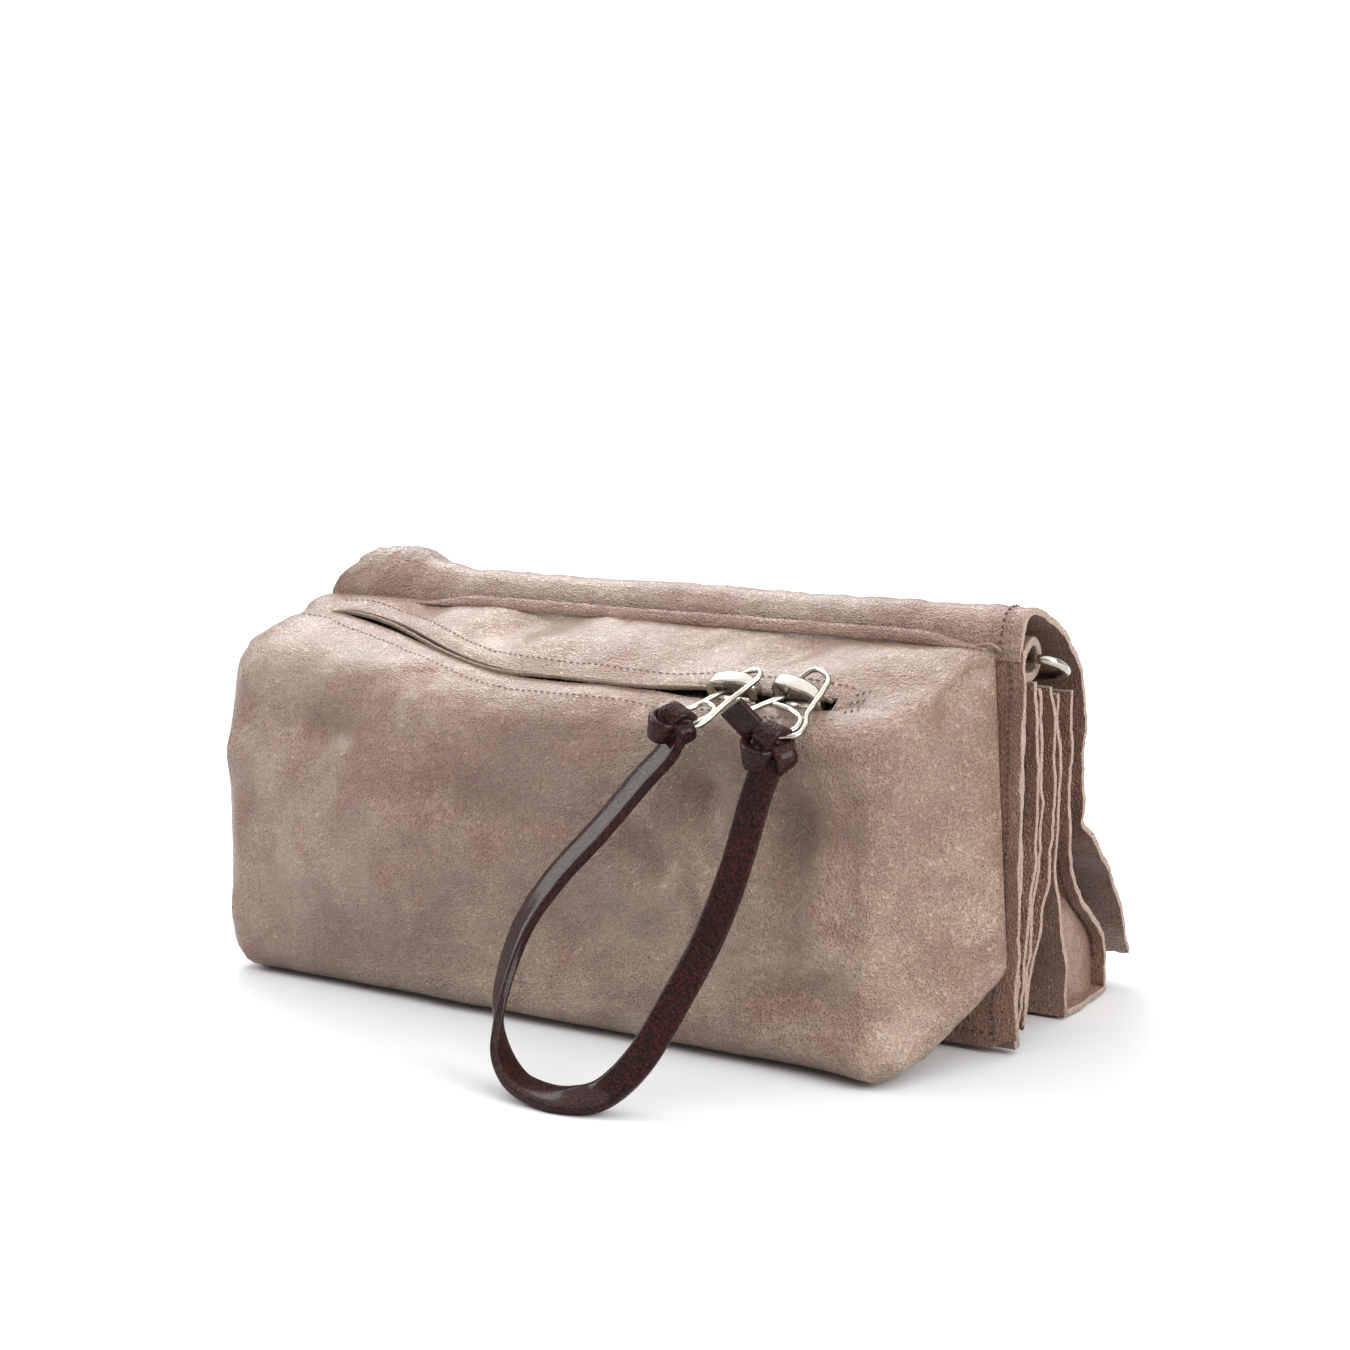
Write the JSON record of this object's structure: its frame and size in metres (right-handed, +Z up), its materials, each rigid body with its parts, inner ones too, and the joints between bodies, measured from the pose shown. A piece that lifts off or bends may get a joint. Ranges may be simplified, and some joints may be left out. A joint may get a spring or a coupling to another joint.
{
  "type": "leather flap shoulder bag",
  "caption": "Small soft leather bag: a flap over flat raw-edged pockets and a boxy zip pouch behind, with zip sliders joined by a knotted leather loop handle.",
  "frame": {"origin": "centre of the zip pouch's flat base, on the surface the bag stands on", "axes": "+X along the bag towards the zip sliders' end, +Y from the pouch towards the flap's front, +Z up"},
  "size_m": [0.275, 0.2081, 0.1337],
  "materials": {
    "taupe_leather": "soft waxed nappa, fine pebble grain",
    "dark_leather": "dark brown pebbled, waxed sheen",
    "nickel": "polished nickel",
    "zip_metal": "antiqued brass",
    "zip_tape": "woven tape"
  },
  "bodies": {
    "bag": {"pouch_back_panel": "taupe_leather", "pouch_top_strip": "taupe_leather", "pouch_base": "taupe_leather", "pouch_side_left": "taupe_leather", "pouch_side_right": "taupe_leather", "zip_tape_lower": "zip_tape", "zip_tape_upper": "zip_tape", "zip_teeth": "zip_metal", "zip_stop_left": "zip_metal", "zip_stop_right": "zip_metal", "body_back_panel": "taupe_leather", "rear_pocket": "taupe_leather", "middle_pocket": "taupe_leather", "front_pocket": "taupe_leather", "flap_root": "taupe_leather", "ring_tab_left": "taupe_leather", "ring_tab_right": "taupe_leather"},
    "flap": {"flap": "taupe_leather"},
    "slider_right": {"slider_right": "nickel"},
    "slider_left": {"slider_left": "nickel"},
    "handle": {"handle_strap": "dark_leather", "knot_right": "dark_leather", "pull_wire_right": "nickel"},
    "pull_left": {"pull_wire_left": "nickel", "knot_left": "dark_leather"},
    "ring_left": {"d_ring_left": "nickel"},
    "ring_right": {"d_ring_right": "nickel"}
  },
  "joints": [
    {"name": "flap_open", "type": "hinge", "parent": "bag", "child": "flap", "pos_m": [0, 0.0337, 0.1337], "axis": [1, 0, 0], "range_deg": [0, 150]},
    {"name": "zip_right", "type": "slide", "parent": "bag", "child": "slider_right", "axis": [1, 0, 0], "range_m": [-0.025, 0]},
    {"name": "zip_left", "type": "slide", "parent": "slider_right", "child": "slider_left", "axis": [1, 0, 0], "range_m": [-0.042, 0]},
    {"name": "handle_swing", "type": "hinge", "parent": "slider_right", "child": "handle", "pos_m": [0.079, -0.01059, 0.11246], "axis": [-1, 0, 0], "range_deg": [0, 120]},
    {"name": "pull_left_follow", "type": "slide", "parent": "handle", "child": "pull_left", "axis": [1, 0, 0], "range_m": [-0.042, 0]},
    {"name": "ring_left_tilt", "type": "hinge", "parent": "bag", "child": "ring_left", "pos_m": [-0.124, 0.045, 0.1175], "axis": [1, 0, 0], "range_deg": [0, 10]},
    {"name": "ring_right_tilt", "type": "hinge", "parent": "bag", "child": "ring_right", "pos_m": [0.124, 0.045, 0.1175], "axis": [1, 0, 0], "range_deg": [0, 10]}
  ],
  "couplings": [
    {"joint": "pull_left_follow", "follows": "zip_left", "ratio": 1}
  ]
}
